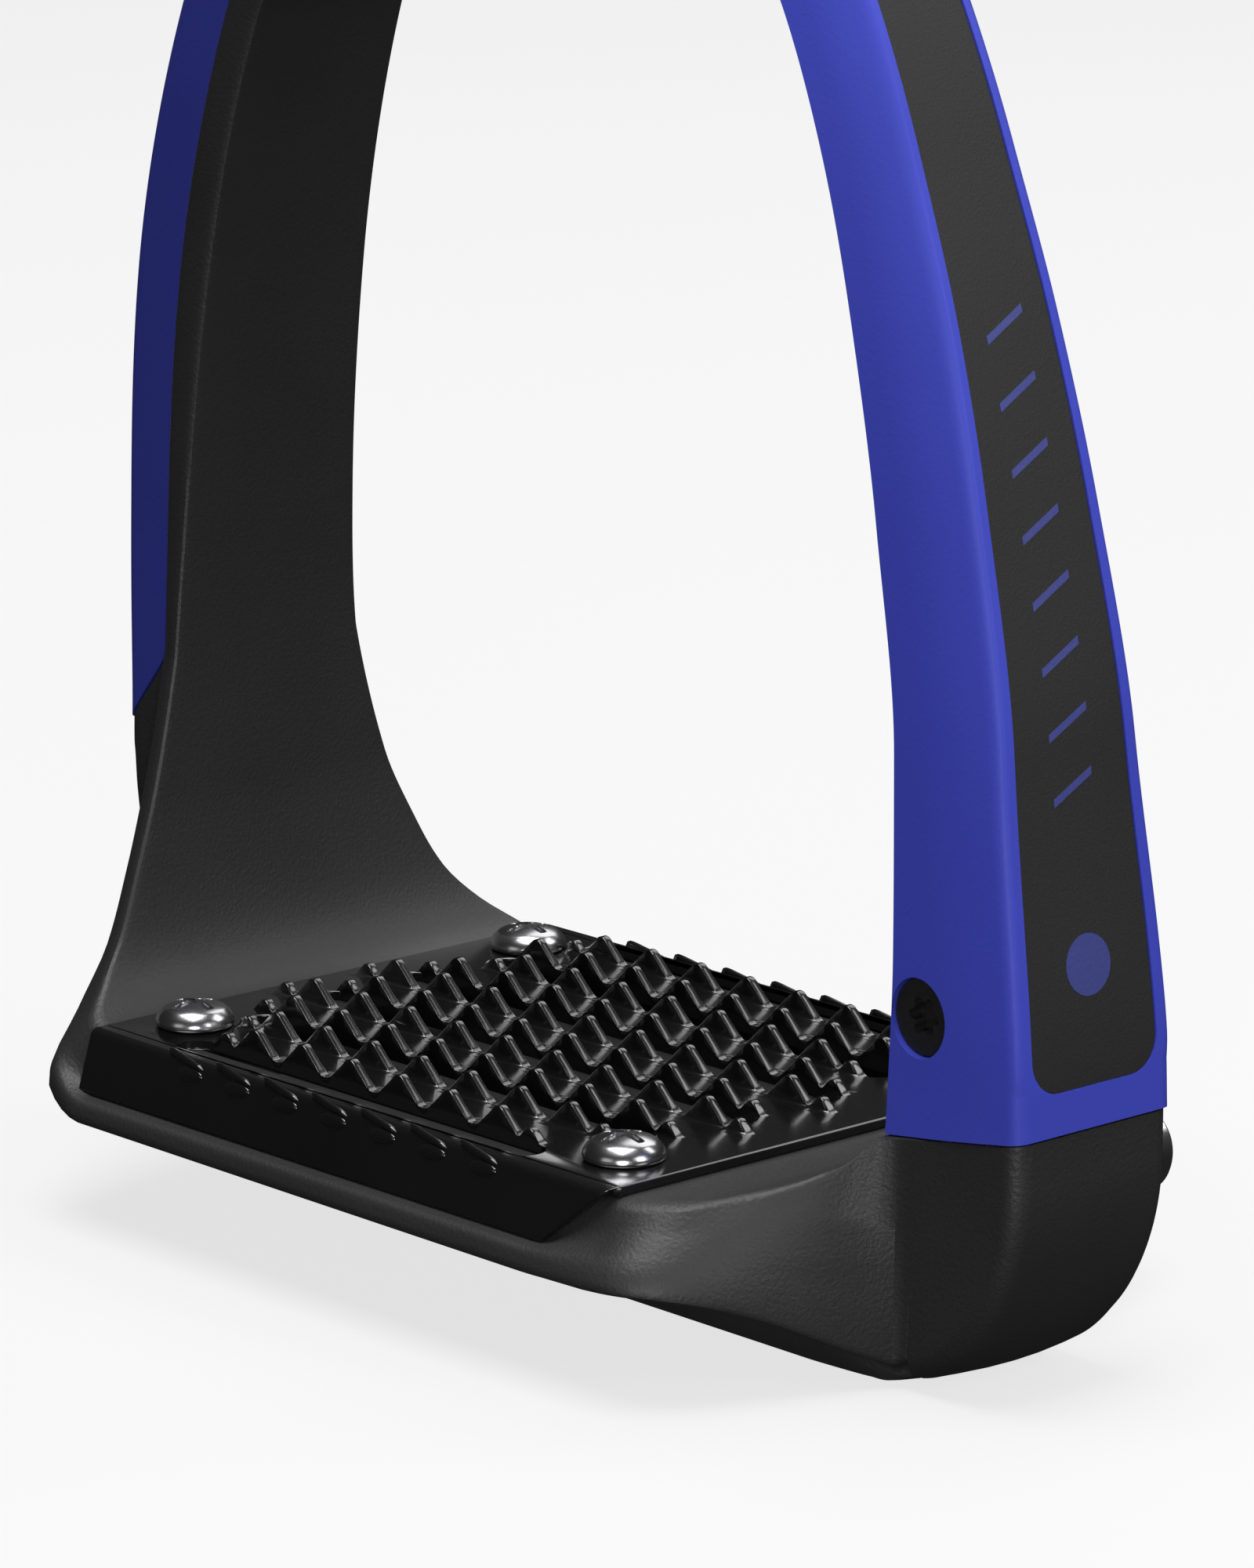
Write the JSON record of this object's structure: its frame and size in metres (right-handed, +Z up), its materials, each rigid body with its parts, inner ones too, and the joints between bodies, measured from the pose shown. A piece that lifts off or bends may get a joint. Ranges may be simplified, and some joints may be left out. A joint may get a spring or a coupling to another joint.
{
  "type": "stirrup iron",
  "caption": "Safety stirrup iron: one-piece frame with fixed arm and leather slot, toothed steel tread, and a sprung outer arm that tips outwards to free a foot.",
  "frame": {"origin": "on the underside of the keel, midway between the two arms", "axes": "+X towards the release arm, +Y to the back, +Z up towards the leather slot"},
  "size_m": [0.1527, 0.0828, 0.19],
  "materials": {
    "frame": "fine-grained matt black moulding",
    "tread": "gloss black coated pressed steel",
    "tread_screw": "dark polished",
    "insert": "turned, knurled",
    "shell": "satin blue moulding",
    "black_screw": "black oxide",
    "core": "black anodised",
    "inlay": "fine-grained charcoal",
    "pin": "ground steel",
    "elastomer": "matt black"
  },
  "bodies": {
    "frame_body": {"frame": "frame", "tread_plate": "tread", "tread_screw_fl": "tread_screw", "tread_screw_fr": "tread_screw", "tread_screw_bl": "tread_screw", "tread_screw_br": "tread_screw", "tread_insert_fl": "insert", "tread_insert_fr": "insert", "tread_insert_bl": "insert", "tread_insert_br": "insert", "arm_cover": "shell", "cover_screw_upper": "black_screw", "cover_screw_lower": "black_screw", "anchor_pin": "pin", "tension_link": "elastomer", "seat_dowel_front": "pin", "seat_dowel_back": "pin", "head_pad": "elastomer"},
    "release_arm": {"release_core": "core", "release_shell": "shell", "label_inlay": "inlay", "cross_screw": "black_screw"}
  },
  "joints": [
    {"name": "release_tip", "type": "hinge", "parent": "frame_body", "child": "release_arm", "pos_m": [0.07996, 0, 0.03128], "axis": [0, 1, 0], "range_deg": [0, 70], "stiffness_Nm_per_rad": 4, "springref_deg": -28.65, "deforming": ["tension_link"]}
  ]
}
